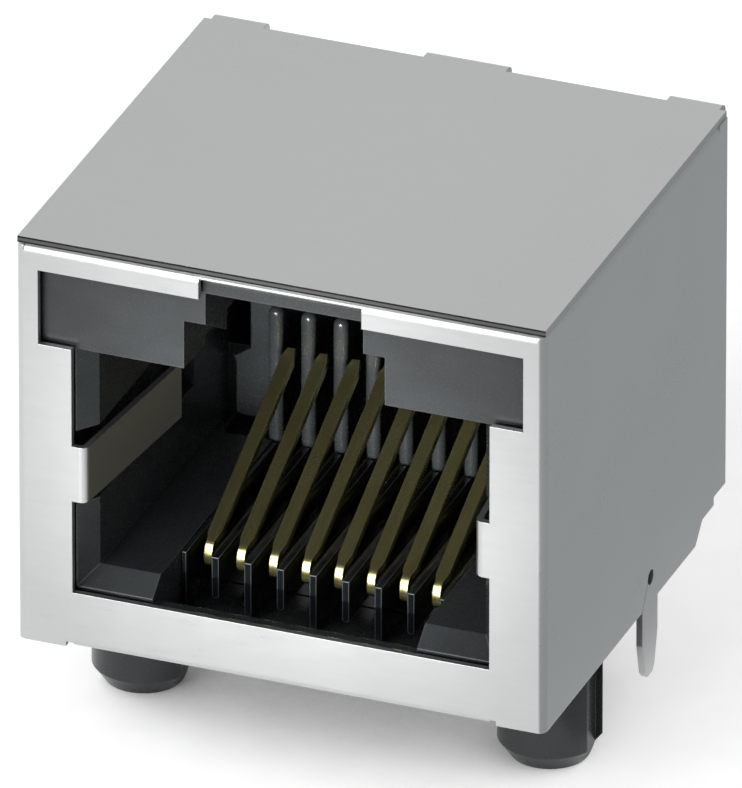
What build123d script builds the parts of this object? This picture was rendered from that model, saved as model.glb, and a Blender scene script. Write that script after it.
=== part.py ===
from build123d import *
import math
import os

# Shielded 8-position modular jack for a circuit board, latch side up. Sizes in millimetres.
# The origin is on the board plane, midway between the two board pegs.
# X runs along the front, Y from the mouth to the back, Z up from the board.

# Footprint on the board
peg_spacing = 12.7
peg_setback = 5.28
peg_radius = 1.54
peg_length = 3.55
peg_tip_radius = 1.165
peg_tip_length = 0.53
peg_groove_width = 1.24
peg_groove_floor = 1.18
tail_length = 3.2

# Shield sheet and its outside
sheet = 0.2
bend_radius = 0.25
shield_width = 16.4
shield_height = 12.95
shield_depth = 14.8

# Front plate of the shield
port_half_width = 6.48
port_bottom = 1.8
port_step = 9.77
port_shoulder_half_width = 7.51
port_top = 12.18
port_notch_half_width = 2.52
port_notch_top = 12.83

# Flanges folded in at the top and at the bottom of the shield
top_lip_reach = 1.1
corner_edge_radius = 0.12
flange_width = 1.3
flange_front_gap = 1.4
flange_rear_gap = 0.6
bottom_lip_half_width = 6.47
bottom_lip_reach = 1.5
bottom_relief_width = 0.22
bottom_relief_height = 0.15

# Ground springs folded back from the port's sides
spring_bottom = 4.8
spring_top = 6.6
spring_root_half_width = 6.02
spring_tip_half_width = 5.42
spring_reach = 6.0
spring_bend_radius = 0.16

# Solder leg on each side of the shield
leg_front = 8.0
leg_width = 1.22
leg_length = 2.35
leg_taper_start = 1.15
leg_taper = 0.24
leg_tip_height = 0.18
leg_tip_inset = 0.16
leg_slit_width = 0.06
leg_relief_radius = 0.24
leg_relief_back = 0.64
leg_relief_height = 0.84

# Lower outline at the back, measured from the rear edge of the shield's sides
rear_slant_start = 2.47
rear_slant_end = 1.89
rear_clearance_height = 0.61
rear_step_start = 0.96
rear_step_height = 0.88

# Cover plate with the back plate folded down from it
cover_sheet = 0.2
cover_setback = 0.08
cover_side_inset = 0.03
cover_overhang = 0.5
cover_recess = 0.5
cover_slot_drop = 0.6
cover_mid_tab_half_width = 1.29
cover_side_tab_inner = 6.3
back_side_gap = 0.05
back_bottom = 0.88

# Housing block and its gaps to the shield
housing_front_gap = 0.15
housing_side_gap = 0.05
housing_top_gap = 0.06
housing_rear_gap = 0.08
housing_top_chamfer = 0.1
lip_gap = 0.1

# Plug cavity and its mouth
cavity_half_width = 6.0
cavity_floor = 2.37
cavity_ceiling = 9.65
cavity_depth = 11.2
mouth_chamfer_depth = 0.65
mouth_half_width = 6.47
mouth_floor = 1.86

# Latch opening in the front wall and the chamber behind it
front_wall = 1.69
latch_half_width = 3.11
latch_front_top = 11.2
latch_catch_bottom = 10.22
latch_slot_half_width = 2.44
latch_slot_top = 12.23
latch_chamber_half_width = 3.3
latch_chamber_depth = 9.0

# Slots in the side walls that the ground springs bend into
spring_slot_bottom = 4.55
spring_slot_top = 6.95
spring_slot_half_width = 6.9
spring_slot_depth = 8.5

# Contact bay in the floor
bay_floor = 0.45
bay_lip_top = 1.6
bay_lip_thickness = 0.5

# Trench across the back of the floor, and cored recess in each rear corner
trench_front = 9.84
trench_half_width = 5.7
trench_drop = 0.4
trench_corner_radius = 0.25
corner_recess_inner = 5.32
corner_recess_bottom = 4.6
corner_recess_top = 9.0
corner_recess_depth = 1.6

# Comb that keeps the contact tips apart
comb_rib_width = 0.46
comb_rib_bottom = 2.2
comb_rib_top = 6.7
comb_rib_front = 9.9
comb_rib_edge_radius = 0.19
comb_rib_root = 0.1
comb_recess_depth = 1.2
comb_recess_headroom = 0.45

# Contacts
contact_count = 8
contact_pitch = 1.016
contact_thickness = 0.25
contact_width = 0.25
blade_width = 0.42
blade_angle = 26.0
blade_length = 7.13
blade_flare_length = 0.35
blade_tip_chamfer = 0.09
blade_tip_chamfer_length = 0.45
blade_edge_chamfer = 0.03
bend_inner_radius = 0.25
nose_front = 3.3
run_bottom = 1.4
tail_row_pitch = 2.54
tail_chamfer = 0.08

# Carrier that holds the contacts
carrier_clearance = 0.03
carrier_front = 4.6
carrier_end_margin = 0.02
carrier_bottom = 0.3
carrier_rear_gap = 0.1
septum_width = 0.21
septum_front = 2.6
septum_top = 2.32
septum_short_bottom = 0.98
septum_end_radius = 0.1
rail_width = 0.43
rail_bottom = 0.7
rail_top = 1.3
tail_hole_clearance = 0.04
tail_rear_margin = 0.75

# Places worked out from the sizes above
front_y = -peg_setback
half_width = shield_width / 2
side_inner = half_width - sheet
top_lip_half_width = half_width - bend_radius
side_rear_y = front_y + shield_depth
cover_bottom = shield_height
cover_top = cover_bottom + cover_sheet
cover_rear_y = side_rear_y + cover_overhang
housing_front_y = front_y + sheet + housing_front_gap
housing_rear_y = cover_rear_y - cover_sheet - housing_rear_gap
housing_half_width = side_inner - housing_side_gap
housing_top = shield_height - sheet - housing_top_gap
housing_depth = housing_rear_y - housing_front_y
cavity_rear_y = front_y + cavity_depth
front_wall_rear_y = housing_front_y + front_wall
contact_xs = [(k - (contact_count - 1) / 2) * contact_pitch for k in range(contact_count)]
septum_xs = [(k - contact_count / 2) * contact_pitch for k in range(contact_count + 1)]
carrier_half_width = septum_xs[-1] + carrier_end_margin
channel_half_width = carrier_half_width + carrier_clearance
carrier_front_y = front_y + carrier_front
carrier_rear_y = housing_rear_y - carrier_rear_gap
tail_row_far = carrier_rear_y - tail_rear_margin
tail_row_near = tail_row_far - tail_row_pitch
channel_front_y = carrier_front_y - carrier_clearance
trench_front_y = front_y + trench_front
trench_floor = cavity_floor - trench_drop
comb_front_y = front_y + comb_rib_front
comb_rear_y = cavity_rear_y + comb_recess_depth

os.makedirs("parts", exist_ok=True)


def fold_section(reach, thickness):
    """Section of a sheet folded by 90 degrees: outer corner at the origin, flange along X."""
    with BuildSketch() as section:
        with BuildLine():
            FilletPolyline(
                (thickness / 2, 2 * bend_radius),
                (thickness / 2, thickness / 2),
                (reach, thickness / 2),
                radius=bend_radius - thickness / 2,
            )
        trace(line_width=thickness)
    return section.sketch


def rear_outline():
    """Side view of the space left free under the back of the part, Y across and Z up."""
    with BuildSketch() as outline:
        with BuildLine():
            Polyline(
                (side_rear_y - rear_slant_start, 0),
                (side_rear_y - rear_slant_end, rear_clearance_height),
                (side_rear_y - rear_step_start, rear_clearance_height),
                (side_rear_y - rear_step_start, rear_step_height),
                (cover_rear_y, rear_step_height),
                (cover_rear_y, 0),
                close=True,
            )
        make_face()
    return outline.sketch


def comb_rib(rib_x):
    """Upright rib of the comb, with a rounded front and rounded ends."""
    with BuildPart() as rib:
        with BuildSketch(Plane.XZ.offset(-comb_front_y)):
            with Locations((rib_x, (comb_rib_bottom + comb_rib_top) / 2)):
                SlotOverall(comb_rib_top - comb_rib_bottom, comb_rib_width, rotation=90)
        extrude(amount=comb_front_y - comb_rear_y - comb_rib_root)
        fillet(rib.faces().sort_by(Axis.Y)[0].edges(), comb_rib_edge_radius)
    return rib.part


def contact_strip(contact_x, tail_y):
    """Contact: solder tail, run under the floor, nose bend and rising blade."""
    radius = bend_inner_radius + contact_thickness / 2
    run_z = run_bottom + contact_thickness / 2
    nose_y = front_y + nose_front + bend_inner_radius + contact_thickness
    rise = math.radians(blade_angle)
    nose_end = (
        contact_x,
        nose_y - radius * math.sin(rise),
        run_z + radius + radius * math.cos(rise),
    )
    blade_plane = Plane(nose_end, x_dir=(1, 0, 0), z_dir=(0, -math.sin(rise), math.cos(rise)))
    with BuildPart() as contact:
        # Blade, seen square to its face, flaring from the strip and chamfered at the tip
        with BuildSketch(blade_plane):
            with BuildLine():
                Polyline(
                    (-contact_width / 2, 0),
                    (-blade_width / 2, blade_flare_length),
                    (-blade_width / 2, blade_length - blade_tip_chamfer_length),
                    (-blade_width / 2 + blade_tip_chamfer, blade_length),
                    (blade_width / 2 - blade_tip_chamfer, blade_length),
                    (blade_width / 2, blade_length - blade_tip_chamfer_length),
                    (blade_width / 2, blade_flare_length),
                    (contact_width / 2, 0),
                    close=True,
                )
            make_face()
        extrude(amount=contact_thickness / 2, both=True)
        upper_face = contact.faces().sort_by(Axis(nose_end, blade_plane.z_dir))[-1]
        long_edges = upper_face.edges().sort_by(SortBy.LENGTH)[-2:]
        chamfer(long_edges, blade_edge_chamfer)

        # Strip from the tail to the end of the nose bend, seen from the side
        with BuildSketch(Plane.YZ.offset(contact_x - contact_width / 2)):
            with BuildLine():
                tail = Line((tail_y, -tail_length), (tail_y, run_z - radius))
                heel = JernArc(tail @ 1, tail % 1, radius, 90)
                run = Line(heel @ 1, (nose_y, run_z))
                JernArc(run @ 1, run % 1, radius, blade_angle - 180)
            trace(line_width=contact_thickness)
        extrude(amount=contact_width)
        chamfer(contact.faces().sort_by(Axis.Z)[0].edges(), tail_chamfer)
    return contact.part


top_lip_section = fold_section(top_lip_reach, sheet)
flange_section = fold_section(flange_width, sheet)
bottom_lip_section = fold_section(bottom_lip_reach, sheet)
cover_tab_section = fold_section(cover_recess + cover_sheet, cover_sheet)
rear_space = rear_outline()
comb_ribs = [comb_rib(rib_x) for rib_x in septum_xs]


# Shield body: front plate, sides, flanges, ground springs and solder legs from one sheet
with BuildPart() as shield_body:
    # Front plate and side of the right half, bent round the front corner
    with BuildSketch():
        with BuildLine():
            FilletPolyline(
                (0, front_y + sheet / 2),
                (half_width - sheet / 2, front_y + sheet / 2),
                (half_width - sheet / 2, side_rear_y),
                radius=bend_radius - sheet / 2,
            )
        trace(line_width=sheet)
    extrude(amount=shield_height)

    # Edges that the top lip and the side flange are folded from
    flange_front_y = front_y + flange_front_gap
    flange_rear_y = side_rear_y - flange_rear_gap
    with BuildSketch(Plane.XY.offset(shield_height - bend_radius)):
        with Locations((0, front_y)):
            Rectangle(top_lip_half_width, sheet, align=(Align.MIN, Align.MIN))
        with Locations((side_inner, flange_front_y)):
            Rectangle(sheet, flange_rear_y - flange_front_y, align=(Align.MIN, Align.MIN))
    extrude(amount=bend_radius, mode=Mode.SUBTRACT)
    top_lip_plane = Plane((top_lip_half_width, front_y, shield_height), x_dir=(0, 1, 0), z_dir=(-1, 0, 0))
    with BuildSketch(top_lip_plane):
        add(top_lip_section)
    extrude(amount=top_lip_half_width)
    flange_plane = Plane((half_width, flange_rear_y, shield_height), x_dir=(-1, 0, 0), z_dir=(0, -1, 0))
    with BuildSketch(flange_plane):
        add(flange_section)
    extrude(amount=flange_rear_y - flange_front_y)

    # Rounded top of the front corner, beside the lip
    corner_edges = shield_body.edges().filter_by(GeomType.CIRCLE).sort_by(Axis.Z)[-2:]
    fillet(corner_edges.sort_by(Edge.length)[-1], corner_edge_radius)

    # Bottom lip, folded under the housing, with a relief notch at its end
    with BuildSketch(Plane.XY):
        with Locations((0, front_y)):
            Rectangle(bottom_lip_half_width, sheet, align=(Align.MIN, Align.MIN))
    extrude(amount=bend_radius, mode=Mode.SUBTRACT)
    with BuildSketch(Plane((0, front_y, 0), x_dir=(0, 1, 0), z_dir=(1, 0, 0))):
        add(bottom_lip_section)
    extrude(amount=bottom_lip_half_width)
    with BuildSketch(Plane.XY):
        with Locations((bottom_lip_half_width, front_y)):
            Rectangle(bottom_relief_width, sheet, align=(Align.MIN, Align.MIN))
    extrude(amount=bottom_relief_height, mode=Mode.SUBTRACT)

    # Port for the plug, with wide shoulders and the notch for the latch
    with BuildSketch(Plane.XZ.offset(-front_y)):
        with Locations((0, port_bottom)):
            Rectangle(port_half_width, port_step - port_bottom, align=(Align.MIN, Align.MIN))
        with Locations((0, port_step)):
            Rectangle(port_shoulder_half_width, port_top - port_step, align=(Align.MIN, Align.MIN))
        with Locations((0, port_top)):
            Rectangle(port_notch_half_width, port_notch_top - port_top, align=(Align.MIN, Align.MIN))
    extrude(amount=-sheet, mode=Mode.SUBTRACT)

    # Ground spring, bent back into the port from its side
    with BuildSketch(Plane.XY.offset(spring_bottom)):
        with BuildLine():
            FilletPolyline(
                (port_half_width + sheet, front_y + sheet / 2),
                (spring_root_half_width + sheet / 2, front_y + sheet / 2),
                (spring_tip_half_width + sheet / 2, front_y + spring_reach),
                radius=spring_bend_radius,
            )
        trace(line_width=sheet)
    extrude(amount=spring_top - spring_bottom)

    # Free space under the back of the side
    with BuildSketch(Plane.YZ):
        add(rear_space)
    extrude(amount=half_width, mode=Mode.SUBTRACT)

    # Solder leg with a tapered tip
    leg_rear = leg_front + leg_width
    with BuildSketch(Plane.YZ.offset(side_inner)):
        with BuildLine():
            Polyline(
                (front_y + leg_front, 0),
                (front_y + leg_front, -leg_taper_start),
                (front_y + leg_front + leg_taper, -leg_length + leg_tip_height),
                (front_y + leg_front + leg_taper + leg_tip_inset, -leg_length),
                (front_y + leg_rear - leg_taper - leg_tip_inset, -leg_length),
                (front_y + leg_rear - leg_taper, -leg_length + leg_tip_height),
                (front_y + leg_rear, -leg_taper_start),
                (front_y + leg_rear, 0),
                close=True,
            )
        make_face()
    extrude(amount=sheet)

    # Slit in line with the leg's front edge, ending in a round relief hole
    with BuildSketch(Plane.YZ.offset(side_inner)):
        with Locations((front_y + leg_front + leg_relief_back, leg_relief_height)):
            Circle(leg_relief_radius)
        slit_end_y = front_y + leg_front + leg_relief_back - leg_relief_radius
        with BuildLine():
            Polyline(
                (front_y + leg_front - leg_slit_width, 0),
                (slit_end_y, leg_relief_height),
                (slit_end_y + leg_slit_width, leg_relief_height),
                (front_y + leg_front, 0),
                close=True,
            )
        make_face()
    extrude(amount=sheet, mode=Mode.SUBTRACT)

    mirror(about=Plane.YZ)

shield_body.part.label = "shield_body"
export_step(shield_body.part, "parts/shield_body.step")


# Shield cover: flat top plate and a back plate, joined by three folded tabs
with BuildPart() as shield_cover:
    cover_front_y = front_y + cover_setback
    cover_half_width = half_width - cover_side_inset
    recess_y = cover_rear_y - cover_recess
    with BuildSketch(Plane.XY.offset(cover_bottom)):
        with Locations((0, cover_front_y)):
            Rectangle(2 * cover_half_width, recess_y - cover_front_y, align=(Align.CENTER, Align.MIN))
    extrude(amount=cover_sheet)

    # Back plate between the sides of the shield, with a slot beside each tab
    back_half_width = side_inner - back_side_gap
    back_plane = Plane.XZ.offset(-cover_rear_y)
    with BuildSketch(back_plane):
        with Locations((0, back_bottom)):
            Rectangle(
                2 * back_half_width,
                cover_top - bend_radius - back_bottom,
                align=(Align.CENTER, Align.MIN),
            )
        slot_width = cover_side_tab_inner - cover_mid_tab_half_width
        slot_centre = (cover_side_tab_inner + cover_mid_tab_half_width) / 2
        with Locations((-slot_centre, cover_top), (slot_centre, cover_top)):
            Rectangle(slot_width, 2 * cover_slot_drop, mode=Mode.SUBTRACT)
    extrude(amount=cover_sheet)

    # Tabs folded from the top plate into the back plate
    tab_spans = [
        (-back_half_width, -cover_side_tab_inner),
        (-cover_mid_tab_half_width, cover_mid_tab_half_width),
        (cover_side_tab_inner, back_half_width),
    ]
    for tab_left, tab_right in tab_spans:
        with BuildSketch(Plane((tab_left, cover_rear_y, cover_top), x_dir=(0, -1, 0), z_dir=(1, 0, 0))):
            add(cover_tab_section)
        extrude(amount=tab_right - tab_left)

shield_cover.part.label = "shield_cover"
export_step(shield_cover.part, "parts/shield_cover.step")


# Housing: moulded block with the plug cavity, latch opening, contact bay, comb and board pegs
with BuildPart() as housing:
    # Right half of the block
    with BuildSketch(Plane.XY):
        with Locations((0, housing_front_y)):
            Rectangle(housing_half_width, housing_depth, align=(Align.MIN, Align.MIN))
    extrude(amount=housing_top)
    top_front_edge = housing.edges().filter_by(Axis.X).group_by(Axis.Z)[-1].sort_by(Axis.Y)[0]
    chamfer(top_front_edge, housing_top_chamfer)

    # Step that takes the shield's bottom lip, and the free space under the back
    with BuildSketch(Plane.XY):
        with Locations((0, housing_front_y)):
            Rectangle(
                bottom_lip_half_width + bottom_relief_width,
                front_y + bottom_lip_reach + lip_gap - housing_front_y,
                align=(Align.MIN, Align.MIN),
            )
    extrude(amount=sheet + lip_gap, mode=Mode.SUBTRACT)
    with BuildSketch(Plane.YZ):
        add(rear_space)
    extrude(amount=housing_half_width, mode=Mode.SUBTRACT)

    # Plug cavity
    with BuildSketch(Plane.XZ.offset(-housing_front_y)):
        with Locations((0, cavity_floor)):
            Rectangle(cavity_half_width, cavity_ceiling - cavity_floor, align=(Align.MIN, Align.MIN))
    extrude(amount=housing_front_y - cavity_rear_y, mode=Mode.SUBTRACT)

    # Chamfered mouth, tapering in from the front
    with BuildSketch(Plane.XZ.offset(-housing_front_y)):
        with Locations((0, mouth_floor)):
            Rectangle(mouth_half_width, cavity_ceiling - mouth_floor, align=(Align.MIN, Align.MIN))
    with BuildSketch(Plane.XZ.offset(-housing_front_y - mouth_chamfer_depth)):
        with Locations((0, cavity_floor)):
            Rectangle(cavity_half_width, cavity_ceiling - cavity_floor, align=(Align.MIN, Align.MIN))
    loft(mode=Mode.SUBTRACT)

    # Latch opening: a narrow slot to the roof, and beside it the ramp of the catch
    with BuildSketch(Plane.XZ.offset(-housing_front_y)):
        with Locations((0, cavity_ceiling)):
            Rectangle(latch_slot_half_width, latch_slot_top - cavity_ceiling, align=(Align.MIN, Align.MIN))
    extrude(amount=-front_wall, mode=Mode.SUBTRACT)
    with BuildSketch(Plane.YZ):
        with BuildLine():
            Polyline(
                (housing_front_y, cavity_ceiling),
                (housing_front_y, latch_front_top),
                (front_wall_rear_y, latch_catch_bottom),
                (front_wall_rear_y, cavity_ceiling),
                close=True,
            )
        make_face()
    extrude(amount=latch_half_width, mode=Mode.SUBTRACT)
    with BuildSketch(Plane.XY.offset(cavity_ceiling)):
        with Locations((0, front_wall_rear_y)):
            Rectangle(
                latch_chamber_half_width,
                front_y + latch_chamber_depth - front_wall_rear_y,
                align=(Align.MIN, Align.MIN),
            )
    extrude(amount=latch_slot_top - cavity_ceiling, mode=Mode.SUBTRACT)

    # Slot in the side wall behind the ground spring
    with BuildSketch(Plane.XZ.offset(-housing_front_y)):
        with Locations((0, spring_slot_bottom)):
            Rectangle(
                spring_slot_half_width,
                spring_slot_top - spring_slot_bottom,
                align=(Align.MIN, Align.MIN),
            )
    extrude(amount=housing_front_y - front_y - spring_slot_depth, mode=Mode.SUBTRACT)

    # Contact bay: low lip in front, a floor as far as the carrier, then open to the board
    bay_y = housing_front_y + bay_lip_thickness
    with BuildSketch(Plane.XY.offset(bay_lip_top)):
        with Locations((0, housing_front_y)):
            Rectangle(channel_half_width, housing_depth, align=(Align.MIN, Align.MIN))
    extrude(amount=trench_floor - bay_lip_top, mode=Mode.SUBTRACT)
    with BuildSketch(Plane.XY.offset(bay_lip_top)):
        with Locations((0, housing_front_y)):
            Rectangle(channel_half_width, trench_front_y - housing_front_y, align=(Align.MIN, Align.MIN))
    extrude(amount=cavity_floor - bay_lip_top, mode=Mode.SUBTRACT)
    with BuildSketch(Plane.XY.offset(bay_floor)):
        with Locations((0, bay_y)):
            Rectangle(channel_half_width, channel_front_y - bay_y, align=(Align.MIN, Align.MIN))
    extrude(amount=cavity_floor - bay_floor, mode=Mode.SUBTRACT)
    with BuildSketch(Plane.XY):
        with Locations((0, channel_front_y)):
            Rectangle(channel_half_width, housing_rear_y - channel_front_y, align=(Align.MIN, Align.MIN))
    extrude(amount=bay_lip_top, mode=Mode.SUBTRACT)
    with BuildSketch(Plane.XY.offset(rail_bottom - carrier_clearance)):
        with Locations((0, channel_front_y)):
            Rectangle(
                channel_half_width + rail_width,
                housing_rear_y - channel_front_y,
                align=(Align.MIN, Align.MIN),
            )
    extrude(amount=rail_top - rail_bottom + 2 * carrier_clearance, mode=Mode.SUBTRACT)

    # Trench across the back of the floor, and the cored recess in the rear corner
    with BuildSketch(Plane.XY.offset(trench_floor)) as trench:
        with Locations((0, trench_front_y)):
            Rectangle(trench_half_width, cavity_rear_y - trench_front_y, align=(Align.MIN, Align.MIN))
        fillet(trench.vertices().group_by(Axis.X)[-1].sort_by(Axis.Y)[0], trench_corner_radius)
    extrude(amount=trench_drop, mode=Mode.SUBTRACT)
    with BuildSketch(Plane.XZ.offset(-cavity_rear_y)):
        with Locations((corner_recess_inner, corner_recess_bottom)):
            Rectangle(
                cavity_half_width - corner_recess_inner,
                corner_recess_top - corner_recess_bottom,
                align=(Align.MIN, Align.MIN),
            )
    extrude(amount=-corner_recess_depth, mode=Mode.SUBTRACT)

    # Recess behind the comb
    with BuildSketch(Plane.XZ.offset(-cavity_rear_y)):
        with Locations((0, trench_floor)):
            Rectangle(
                channel_half_width,
                comb_rib_top + comb_recess_headroom - trench_floor,
                align=(Align.MIN, Align.MIN),
            )
    extrude(amount=-comb_recess_depth, mode=Mode.SUBTRACT)

    # Board peg with a tapered tip and a groove down each side
    with BuildSketch(Plane((peg_spacing / 2, 0, 0), x_dir=(1, 0, 0), z_dir=(0, -1, 0))):
        with BuildLine():
            Polyline(
                (0, 0),
                (peg_radius, 0),
                (peg_radius, -peg_length + peg_tip_length),
                (peg_tip_radius, -peg_length),
                (0, -peg_length),
                close=True,
            )
        make_face()
    revolve(axis=Axis((peg_spacing / 2, 0, 0), (0, 0, 1)))
    groove_offset = (peg_radius + peg_groove_floor) / 2
    with BuildSketch(Plane.XY):
        with Locations((peg_spacing / 2 - groove_offset, 0), (peg_spacing / 2 + groove_offset, 0)):
            Rectangle(peg_radius - peg_groove_floor, peg_groove_width)
    extrude(amount=-peg_length, mode=Mode.SUBTRACT)

    mirror(about=Plane.YZ)

    # Comb that keeps the contact tips apart
    add(comb_ribs)

housing.part.label = "housing"
export_step(housing.part, "parts/housing.step")


# Contact carrier: base plate with side rails, septa between the contacts and holes for the tails
with BuildPart() as contact_carrier:
    carrier_depth = carrier_rear_y - carrier_front_y
    with BuildSketch(Plane.XY.offset(carrier_bottom)):
        with Locations((0, carrier_front_y)):
            Rectangle(2 * carrier_half_width, carrier_depth, align=(Align.CENTER, Align.MIN))
    extrude(amount=run_bottom - carrier_bottom)
    with BuildSketch(Plane.XY.offset(rail_bottom)):
        with Locations((0, carrier_front_y)):
            Rectangle(2 * (carrier_half_width + rail_width), carrier_depth, align=(Align.CENTER, Align.MIN))
    extrude(amount=rail_top - rail_bottom)

    # Septa: every other one is short, with a rounded lower end, and the outer two end flush with the sides
    septum_front_y = front_y + septum_front
    septum_low_top = trench_floor - carrier_clearance
    for number, septum_x in enumerate(septum_xs):
        septum_bottom = septum_short_bottom if number % 2 else bay_floor + carrier_clearance
        septum_left = max(septum_x - septum_width / 2, -carrier_half_width)
        septum_right = min(septum_x + septum_width / 2, carrier_half_width)
        with BuildSketch(Plane.YZ.offset(septum_left)):
            with BuildLine():
                Polyline(
                    (septum_front_y, septum_bottom),
                    (carrier_rear_y, septum_bottom),
                    (carrier_rear_y, septum_low_top),
                    (trench_front_y, septum_low_top),
                    (trench_front_y, septum_top),
                    (septum_front_y, septum_top),
                    close=True,
                )
            make_face()
        extrude(amount=septum_right - septum_left)
    short_end_edges = contact_carrier.edges().filter_by(Axis.Y).filter_by(
        lambda edge: math.isclose(edge.center().Z, septum_short_bottom)
    )
    fillet(short_end_edges, septum_end_radius)

    # Rear wall behind the far row of tails
    rear_wall_y = tail_row_far + contact_thickness / 2 + tail_hole_clearance
    with BuildSketch(Plane.XY.offset(run_bottom)):
        with Locations((0, rear_wall_y)):
            Rectangle(2 * carrier_half_width, carrier_rear_y - rear_wall_y, align=(Align.CENTER, Align.MIN))
    extrude(amount=septum_low_top - run_bottom)

    # Free space under the back
    with BuildSketch(Plane.YZ):
        add(rear_space)
    extrude(amount=carrier_half_width + rail_width, both=True, mode=Mode.SUBTRACT)

    # Holes that the contacts bend down through
    with BuildSketch(Plane.XY.offset(carrier_bottom)):
        for number, contact_x in enumerate(contact_xs):
            tail_y = tail_row_far if number % 2 else tail_row_near
            hole_length = contact_thickness + bend_inner_radius + 2 * tail_hole_clearance
            with Locations((contact_x, tail_y + contact_thickness / 2 + tail_hole_clearance)):
                Rectangle(
                    contact_width + 2 * tail_hole_clearance,
                    hole_length,
                    align=(Align.CENTER, Align.MAX),
                )
    extrude(amount=run_bottom - carrier_bottom, mode=Mode.SUBTRACT)

contact_carrier.part.label = "contact_carrier"
export_step(contact_carrier.part, "parts/contact_carrier.step")


# Contacts, with their tails in two staggered rows
for number, contact_x in enumerate(contact_xs):
    contact = contact_strip(contact_x, tail_row_far if number % 2 else tail_row_near)
    contact.label = f"contact_{number + 1}"
    export_step(contact, f"parts/{contact.label}.step")
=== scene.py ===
import math

import bpy
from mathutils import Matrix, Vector

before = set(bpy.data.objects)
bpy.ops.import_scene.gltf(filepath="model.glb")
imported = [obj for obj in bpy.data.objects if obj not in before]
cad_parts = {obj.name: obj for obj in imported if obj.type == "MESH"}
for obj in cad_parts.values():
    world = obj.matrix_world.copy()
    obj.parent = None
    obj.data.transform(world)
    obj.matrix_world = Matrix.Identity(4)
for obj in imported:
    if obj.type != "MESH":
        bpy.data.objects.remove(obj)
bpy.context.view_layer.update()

# Sizes in metres, the same as in the part's source
MM = 0.001
front_y = -5.28 * MM
cover_front_y = front_y + 0.08 * MM
cover_bottom = 12.95 * MM
cover_sheet = 0.2 * MM
floor_z = -3.55 * MM
centre = Vector((0.0, 2.2 * MM, 6.5 * MM))
port_centre = Vector((0.0, front_y, 7.0 * MM))

# The photo's view
view_azimuth = math.radians(21.244)
view_elevation = math.radians(28.018)
pixels_per_mm = 34.381
image_width = 742
target_shift_right = -2.83 / pixels_per_mm * MM
target_shift_up = -19.0 / pixels_per_mm * MM
camera_distance = 0.9
sensor_width = 36.0

# Metal of the shield
metal_color = (0.54, 0.546, 0.547, 1.0)
metal_metallic = 0.92
metal_roughness = (0.27, 0.32)
metal_edge_smoothing = 0.12
# Painted shade on the cover's cut edges: tone of the front cut edge painted dark like a shaded gap, tone of
# the painted shadow lines along it, and factor that paints the right cut edge darker
cut_edge_painted_shade_tone = 0.11
cut_edge_painted_shadow_line_tone = 0.005
cut_side_painted_shade_tone = 0.8

# Plastics
housing_color = (0.022, 0.025, 0.026)
housing_roughness = (0.22, 0.28)
# Factor that lightens the housing's colour along its edges as a painted highlight
housing_painted_edge_highlight = 3.0
housing_ior = 1.49
carrier_color = (0.006, 0.007, 0.008)
carrier_roughness = (0.08, 0.14)
# Factor that lightens the carrier's colour along its edges as a painted highlight
carrier_painted_edge_highlight = 14.0
carrier_ior = 1.8
# Painted shade in recesses: how far the openness is measured, and the darkest tone
painted_recess_shade_reach = 1.5 * MM
painted_recess_shade_tone = 0.1

# Gold of the contacts
gold_color = (0.70, 0.64, 0.30, 1.0)
gold_drift_color = (0.62, 0.55, 0.24, 1.0)
# Pale colour of the painted highlight along the contacts' edges
gold_painted_edge_highlight = (0.93, 0.89, 0.66, 1.0)
gold_metallic = 0.97
gold_roughness = (0.20, 0.26)

# Stage
floor_reach = 3.0
floor_tone = (0.73, 0.77)
floor_lift = 0.52
floor_shadow_reach = 8.0 * MM
world_back_tone = 0.87
world_right_tone = 1.1
world_overhead_tone = 0.15
card_x = 9.6 * MM
card_length = 120.0 * MM
card_height = 60.0 * MM
card_color = (0.402, 0.424, 0.430, 1.0)

# Lamps
lamp_distance = 0.8
key_toward = (-0.30, -0.74, 0.60)
key_size = (0.5, 0.42)
key_power = 2.6
strip_toward = (-0.20, -0.96, 0.19)
strip_size = (0.24, 0.20)
strip_power = 0.8
spot_toward = (-0.03, -0.998, 0.05)
spot_circle = 14.0 * MM
spot_power = 58.0
spot_soft_size = 0.003
spot_blend = 0.2


# Node helpers
def add(tree, kind, inputs=None, **settings):
    """Makes a node; an input given as a socket is linked, any other value is set."""
    made = tree.nodes.new(kind)
    for name, value in settings.items():
        setattr(made, name, value)
    for name, value in (inputs or {}).items():
        if isinstance(value, bpy.types.NodeSocket):
            tree.links.new(value, made.inputs[name])
        else:
            made.inputs[name].default_value = value
    return made


def calc(tree, operation, first, second=0.0, clamp=False):
    """Math node on sockets or numbers."""
    inputs = {0: first, 1: second}
    return add(tree, "ShaderNodeMath", inputs, operation=operation, use_clamp=clamp).outputs[0]


def product(tree, first, *others):
    """Product of sockets or numbers."""
    for other in others:
        first = calc(tree, "MULTIPLY", first, other)
    return first


def ramp(tree, value, low, high, out_low=0.0, out_high=1.0):
    """Maps value smoothly from low..high to out_low..out_high, clamped."""
    inputs = {"Value": value, "From Min": low, "From Max": high, "To Min": out_low, "To Max": out_high}
    return add(tree, "ShaderNodeMapRange", inputs, interpolation_type="SMOOTHSTEP").outputs["Result"]


def spread(tree, value, out_low, out_high):
    """Maps the range in which most of a noise lies to out_low..out_high."""
    return ramp(tree, value, 0.3, 0.7, out_low, out_high)


def mix_color(tree, factor, first, second, blend="MIX"):
    """Mix node for colours; its colour sockets have the numbers 6 and 7."""
    inputs = {0: factor, 6: first, 7: second}
    return add(tree, "ShaderNodeMix", inputs, data_type="RGBA", blend_type=blend).outputs[2]


def grey(value):
    return (value, value, value, 1.0)


def object_coords(tree):
    return tree.nodes.new("ShaderNodeTexCoord").outputs["Object"]


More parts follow.
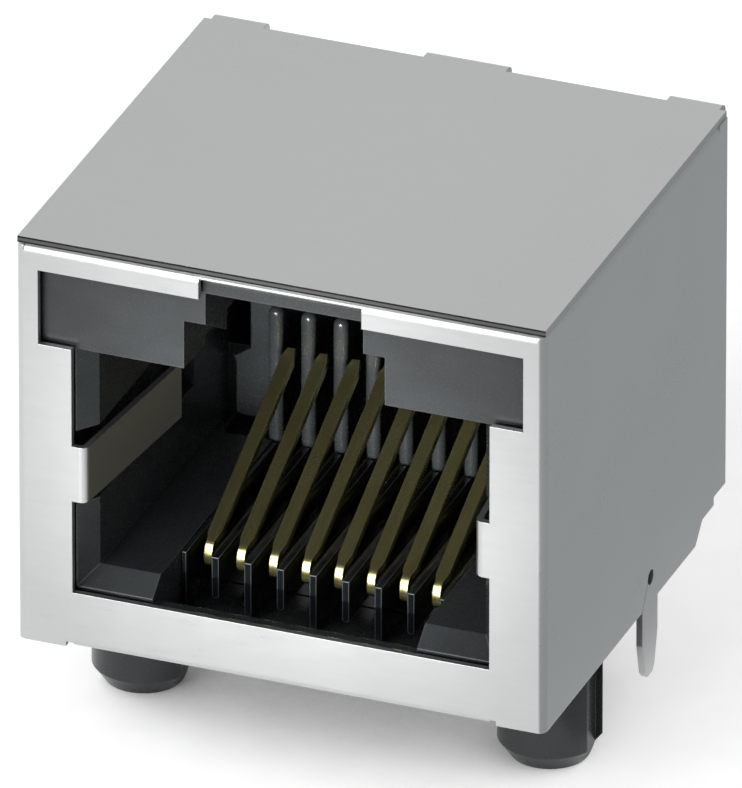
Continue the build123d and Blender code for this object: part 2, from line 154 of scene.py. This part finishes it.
def noise(tree, coords, scale, detail, roughness, squeeze=(1.0, 1.0, 1.0)):
    """Noise at scale cycles per metre; a squeeze below 1 draws it out along that axis."""
    mapping = add(tree, "ShaderNodeMapping", {"Vector": coords, "Scale": squeeze})
    inputs = {"Vector": mapping.outputs[0], "Scale": scale, "Detail": detail, "Roughness": roughness}
    return add(tree, "ShaderNodeTexNoise", inputs).outputs["Fac"]


def rounded_normal(tree, radius):
    """Normal that rounds sharp edges off over that radius."""
    return add(tree, "ShaderNodeBevel", {"Radius": radius}, samples=8).outputs[0]


def edge_mask(tree, radius):
    """About 1 along edges and 0 on faces, from how far a rounded normal turns."""
    normal = tree.nodes.new("ShaderNodeNewGeometry").outputs["Normal"]
    pair = {0: rounded_normal(tree, radius), 1: normal}
    dot = add(tree, "ShaderNodeVectorMath", pair, operation="DOT_PRODUCT").outputs["Value"]
    sharpness = 8.0
    return calc(tree, "MULTIPLY", calc(tree, "SUBTRACT", 1.0, dot), sharpness, clamp=True)


def openness(tree, distance):
    """1 in the open, and down to 0 in deep recesses of that size."""
    return add(tree, "ShaderNodeAmbientOcclusion", {"Distance": distance}, samples=8).outputs["AO"]


def bump(tree, height, distance, strength, edge_radius):
    """Normal with a fine relief on rounded edges."""
    normal = rounded_normal(tree, edge_radius)
    inputs = {"Height": height, "Distance": distance, "Strength": strength, "Normal": normal}
    return add(tree, "ShaderNodeBump", inputs).outputs[0]


def material_with(name, make_surface):
    """New node material; make_surface builds its nodes and returns the shader's socket."""
    material = bpy.data.materials.new(name)
    material.use_nodes = True
    tree = material.node_tree
    tree.nodes.clear()
    add(tree, "ShaderNodeOutputMaterial", {"Surface": make_surface(tree)})
    return material


def principled(tree, base, roughness, normal, **constants):
    """Principled shader with linked colour, roughness and normal, and constants on its own sockets."""
    inputs = {"Base Color": base, "Roughness": roughness, "Normal": normal, **constants}
    return add(tree, "ShaderNodeBsdfPrincipled", inputs).outputs[0]


# Materials of the object
def cover_edges_painted_shade(tree, coords, base):
    """Painted shade on the cut edges of the cover sheet: the front cut edge painted dark, like a shaded
    gap, between two painted shadow lines, and the right cut edge painted darker.
    """
    position = add(tree, "ShaderNodeSeparateXYZ", {0: coords})
    normal = tree.nodes.new("ShaderNodeNewGeometry").outputs["True Normal"]
    facing = add(tree, "ShaderNodeSeparateXYZ", {0: normal})
    on_cover = calc(tree, "GREATER_THAN", position.outputs["Z"], cover_bottom + 0.005 * MM)
    at_front = calc(tree, "LESS_THAN", position.outputs["Y"], cover_front_y + 0.02 * MM)
    faces_front = calc(tree, "LESS_THAN", facing.outputs["Y"], -0.7)
    faces_right = calc(tree, "GREATER_THAN", facing.outputs["X"], 0.7)

    height = calc(tree, "SUBTRACT", position.outputs["Z"], cover_bottom + cover_sheet / 2)
    from_middle = calc(tree, "ABSOLUTE", height)
    # Front cut edge painted dark, with painted shadow lines at its top and bottom
    painted_cut_edge_shade = ramp(tree, from_middle, 0.03 * MM, 0.07 * MM, cut_edge_painted_shade_tone, cut_edge_painted_shadow_line_tone)
    base = mix_color(tree, product(tree, on_cover, at_front, faces_front), base, painted_cut_edge_shade)
    # Right cut edge painted darker as painted shade
    return mix_color(tree, product(tree, on_cover, faces_right), base, grey(cut_side_painted_shade_tone), "MULTIPLY")


def shield_surface(tree):
    """Satin tin on thin sheet: fine rolled grain, faint mottling, smoother folded edges, and painted shade
    on the cover's cut edges.
    """
    coords = object_coords(tree)
    grain = noise(tree, coords, 9000, 4, 0.6, (0.12, 1.0, 1.0))
    mottle = noise(tree, coords, 260, 3, 0.5)
    edges = edge_mask(tree, 0.05 * MM)

    tone = product(tree, spread(tree, grain, 0.985, 1.01), spread(tree, mottle, 0.985, 1.01))
    base = mix_color(tree, 1.0, metal_color, tone, "MULTIPLY")
    # Painted shade on the cover's cut edges
    base = cover_edges_painted_shade(tree, coords, base)

    wear = calc(tree, "ADD", product(tree, grain, 0.6), product(tree, mottle, 0.4))
    rough = spread(tree, wear, *metal_roughness)
    rough = calc(tree, "SUBTRACT", rough, product(tree, edges, metal_edge_smoothing))
    normal = bump(tree, grain, 0.001 * MM, 0.1, 0.03 * MM)
    return principled(tree, base, rough, normal, Metallic=metal_metallic)


def plastic_surface(tree, color, roughness, painted_edge_highlight, ior):
    """Moulded plastic: fine texture, soft cloudy tone, painted highlights along the edges and painted shade
    in recesses.
    """
    coords = object_coords(tree)
    texture = noise(tree, coords, 14000, 2, 0.5)
    flow = noise(tree, coords, 420, 4, 0.6, (1.0, 0.5, 1.6))
    edges = edge_mask(tree, 0.06 * MM)

    base = mix_color(tree, 1.0, (*color, 1.0), spread(tree, flow, 0.85, 1.15), "MULTIPLY")
    # Painted highlight: colour lightened along the edges
    painted_edge_highlight_color = (*[part * painted_edge_highlight for part in color], 1.0)
    base = mix_color(tree, product(tree, edges, 0.8), base, painted_edge_highlight_color)
    # Painted shade: colour darkened in recesses
    painted_recess_shade = ramp(tree, openness(tree, painted_recess_shade_reach), 0.3, 0.6, painted_recess_shade_tone, 1.0)
    base = mix_color(tree, 1.0, base, painted_recess_shade, "MULTIPLY")

    rough = spread(tree, texture, *roughness)
    normal = bump(tree, texture, 0.002 * MM, 0.1, 0.05 * MM)
    return principled(tree, base, rough, normal, IOR=ior)


def housing_surface(tree):
    return plastic_surface(tree, housing_color, housing_roughness, housing_painted_edge_highlight, housing_ior)


def carrier_surface(tree):
    return plastic_surface(tree, carrier_color, carrier_roughness, carrier_painted_edge_highlight, carrier_ior)


def gold_surface(tree):
    """Thin gold plating: olive and brownish drift along the blades, drawn grain, and pale painted
    highlights along the edges.
    """
    coords = object_coords(tree)
    drift = noise(tree, coords, 700, 4, 0.6, (1.0, 0.5, 0.5))
    grain = noise(tree, coords, 12000, 3, 0.6, (1.0, 0.1, 0.1))
    edges = edge_mask(tree, 0.04 * MM)

    base = mix_color(tree, ramp(tree, drift, 0.35, 0.65), gold_color, gold_drift_color)
    # Painted highlight: colour paled along the edges
    base = mix_color(tree, product(tree, edges, 0.7), base, gold_painted_edge_highlight)
    rough = spread(tree, grain, *gold_roughness)
    normal = bump(tree, grain, 0.0005 * MM, 0.1, 0.03 * MM)
    return principled(tree, base, rough, normal, Metallic=gold_metallic)


metal = material_with("shield_metal_look", shield_surface)
gold = material_with("contact_gold_look", gold_surface)
looks = {
    "shield_body": metal,
    "shield_cover": metal,
    "housing": material_with("housing_plastic_look", housing_surface),
    "contact_carrier": material_with("carrier_plastic_look", carrier_surface),
}
for name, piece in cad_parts.items():
    piece.data.materials.clear()
    piece.data.materials.append(looks.get(name, gold))


# Floor, world and card
def floor_surface(tree):
    """White floor for the camera and in reflections, with a soft shadow round the object's foot."""
    speckle = noise(tree, object_coords(tree), 900, 3, 0.5)
    diffuse = add(tree, "ShaderNodeBsdfDiffuse", {"Color": spread(tree, speckle, *floor_tone)}).outputs[0]
    open_sky = ramp(tree, openness(tree, floor_shadow_reach), 0.08, 0.42)
    lift = add(tree, "ShaderNodeEmission", {"Color": open_sky, "Strength": floor_lift}).outputs[0]
    lifted = add(tree, "ShaderNodeAddShader", {0: diffuse, 1: lift}).outputs[0]

    path = tree.nodes.new("ShaderNodeLightPath").outputs
    seen = calc(tree, "MAXIMUM", path["Is Camera Ray"], path["Is Glossy Ray"])
    seen = calc(tree, "MAXIMUM", seen, path["Is Transmission Ray"])
    white = add(tree, "ShaderNodeMixShader", {0: seen, 1: diffuse, 2: lifted}).outputs[0]

    clear = tree.nodes.new("ShaderNodeBsdfTransparent").outputs[0]
    from_below = tree.nodes.new("ShaderNodeNewGeometry").outputs["Backfacing"]
    return add(tree, "ShaderNodeMixShader", {0: from_below, 1: white, 2: clear}).outputs[0]


def card_surface(tree):
    return add(tree, "ShaderNodeEmission", {"Color": card_color, "Strength": 1.0}).outputs[0]


def light_world(tree):
    """Studio light, dimmer behind and overhead, and plain white where the camera sees it."""
    coords = tree.nodes.new("ShaderNodeTexCoord").outputs["Generated"]
    direction = add(tree, "ShaderNodeSeparateXYZ", {0: coords}).outputs
    toward_back = ramp(tree, direction["Y"], -0.3, 0.5, 1.0, world_back_tone)
    toward_right = ramp(tree, direction["X"], 0.0, 0.7, 1.0, world_right_tone)
    overhead = ramp(tree, direction["Z"], 0.55, 0.85, 1.0, world_overhead_tone)
    tone = product(tree, toward_back, toward_right, overhead)
    studio = add(tree, "ShaderNodeBackground", {"Color": tone, "Strength": 1.0}).outputs[0]
    white = add(tree, "ShaderNodeBackground", {"Color": grey(1.0), "Strength": 1.0}).outputs[0]
    camera_ray = tree.nodes.new("ShaderNodeLightPath").outputs["Is Camera Ray"]
    seen = add(tree, "ShaderNodeMixShader", {0: camera_ray, 1: studio, 2: white}).outputs[0]
    add(tree, "ShaderNodeOutputWorld", {"Surface": seen})


def place(name, data):
    """New object in the scene that shows the data."""
    made = bpy.data.objects.new(name, data)
    bpy.context.scene.collection.objects.link(made)
    return made


def flat_sheet(name, corners, material):
    """Object of one face with those four corners."""
    mesh = bpy.data.meshes.new(name)
    mesh.from_pydata(corners, [], [(0, 1, 2, 3)])
    mesh.materials.append(material)
    return place(name, mesh)


floor_corners = [
    (-floor_reach, -floor_reach, floor_z),
    (floor_reach, -floor_reach, floor_z),
    (floor_reach, floor_reach, floor_z),
    (-floor_reach, floor_reach, floor_z),
]
floor = flat_sheet("floor", floor_corners, material_with("floor_look", floor_surface))

world = bpy.data.worlds.new("studio")
bpy.context.scene.world = world
world.use_nodes = True
world.node_tree.nodes.clear()
light_world(world.node_tree)

# Grey card close to the object's right side, seen only in reflections, that tones the metal there
card_front_y = centre.y - card_length / 2
card_back_y = centre.y + card_length / 2
card_corners = [
    (card_x, card_front_y, floor_z),
    (card_x, card_back_y, floor_z),
    (card_x, card_back_y, floor_z + card_height),
    (card_x, card_front_y, floor_z + card_height),
]
card = flat_sheet("card", card_corners, material_with("card_look", card_surface))
card.visible_camera = False
card.visible_shadow = False
card.visible_diffuse = False


# Lamps
def aim_lamp(lamp, point, toward):
    """Puts the lamp in that direction from the point, facing it."""
    direction = Vector(toward).normalized()
    made = place(lamp.name, lamp)
    made.location = point + direction * lamp_distance
    made.rotation_euler = direction.to_track_quat("Z", "Y").to_euler()


def soft_box(name, toward, size, power):
    """Rectangular lamp that faces the object."""
    lamp = bpy.data.lights.new(name, "AREA")
    lamp.shape = "RECTANGLE"
    lamp.size, lamp.size_y = size
    lamp.energy = power
    aim_lamp(lamp, centre, toward)


def mouth_spot():
    """Spot lamp aimed into the port, which lights a circle at its front."""
    lamp = bpy.data.lights.new("mouth_spot", "SPOT")
    lamp.energy = spot_power
    lamp.shadow_soft_size = spot_soft_size
    lamp.spot_size = 2.0 * math.atan(spot_circle / 2.0 / lamp_distance)
    lamp.spot_blend = spot_blend
    aim_lamp(lamp, port_centre, spot_toward)


soft_box("key_box", key_toward, key_size, key_power)
soft_box("front_strip", strip_toward, strip_size, strip_power)
mouth_spot()

# Camera
right = Vector((math.cos(view_azimuth), math.sin(view_azimuth), 0.0))
level = Vector((-math.sin(view_azimuth), math.cos(view_azimuth), 0.0))
forward = level * math.cos(view_elevation) - Vector((0.0, 0.0, math.sin(view_elevation)))
up = right.cross(forward)
target = centre + right * target_shift_right + up * target_shift_up
frame_width = image_width / pixels_per_mm * MM

camera_data = bpy.data.cameras.new("camera")
camera_data.sensor_fit = "HORIZONTAL"
camera_data.sensor_width = sensor_width
camera_data.lens = sensor_width * camera_distance / frame_width
camera_data.clip_start = 0.1
camera_data.clip_end = 50.0
camera = place("camera", camera_data)
camera.location = target - forward * camera_distance
camera.rotation_euler = forward.to_track_quat("-Z", "Y").to_euler()
bpy.context.scene.camera = camera

bpy.context.scene.view_settings.view_transform = "Standard"
